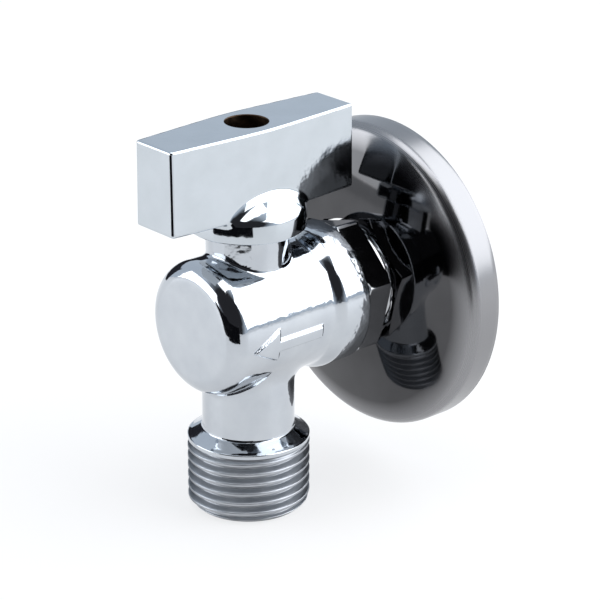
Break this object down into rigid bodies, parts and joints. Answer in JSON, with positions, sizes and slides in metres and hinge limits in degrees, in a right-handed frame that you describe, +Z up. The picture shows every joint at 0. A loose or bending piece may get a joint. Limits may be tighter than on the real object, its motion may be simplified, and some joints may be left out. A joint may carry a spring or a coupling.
{
  "type": "angle stop valve",
  "caption": "Quarter-turn angle stop valve with a flat bar lever, a round wall rosette and two male pipe threads at right angles.",
  "frame": {"origin": "on the axis of the inlet thread, in the plane of the finished wall, where the rosette's rim rests", "axes": "+Y along the inlet into the wall, +Z up along the stem towards the lever, -Z down the outlet, +X to the right seen from the room"},
  "size_m": [0.0546, 0.0633, 0.0685],
  "materials": {
    "body_chrome": "bright chrome plate on forged brass",
    "connector_chrome": "bright chrome plate on turned brass",
    "handle_chrome": "bright chrome plate on a zinc casting",
    "ball_chrome": "mirror-bright chrome plate on brass",
    "rosette_steel": "dark mirror-polished sheet, probably stainless steel",
    "screw_steel": "zinc-plated steel",
    "stem_brass": "turned brass",
    "seat_ptfe": "waxy white PTFE",
    "seal_rubber": "black rubber"
  },
  "bodies": {
    "valve_body": {"body": "body_chrome", "inlet_connector": "connector_chrome", "connector_o_ring": "seal_rubber", "front_seat": "seat_ptfe", "rear_seat": "seat_ptfe"},
    "lever_group": {"handle": "handle_chrome", "screw_washer": "screw_steel", "handle_screw": "screw_steel", "stem": "stem_brass", "thrust_washer": "seat_ptfe", "lower_stem_o_ring": "seal_rubber", "upper_stem_o_ring": "seal_rubber"},
    "ball": {"ball": "ball_chrome"},
    "rosette": {"rosette": "rosette_steel"}
  },
  "joints": [
    {"name": "lever_turn", "type": "hinge", "parent": "valve_body", "child": "lever_group", "pos_m": [0, -0.0325, 0], "axis": [0, 0, -1], "range_deg": [0, 90]},
    {"name": "ball_turn", "type": "hinge", "parent": "valve_body", "child": "ball", "pos_m": [0, -0.0325, 0], "axis": [0, 0, -1], "range_deg": [0, 90]},
    {"name": "rosette_slide", "type": "slide", "parent": "valve_body", "child": "rosette", "axis": [0, 1, 0], "range_m": [0, 0.01]}
  ],
  "couplings": [
    {"joint": "ball_turn", "follows": "lever_turn", "ratio": 1}
  ]
}
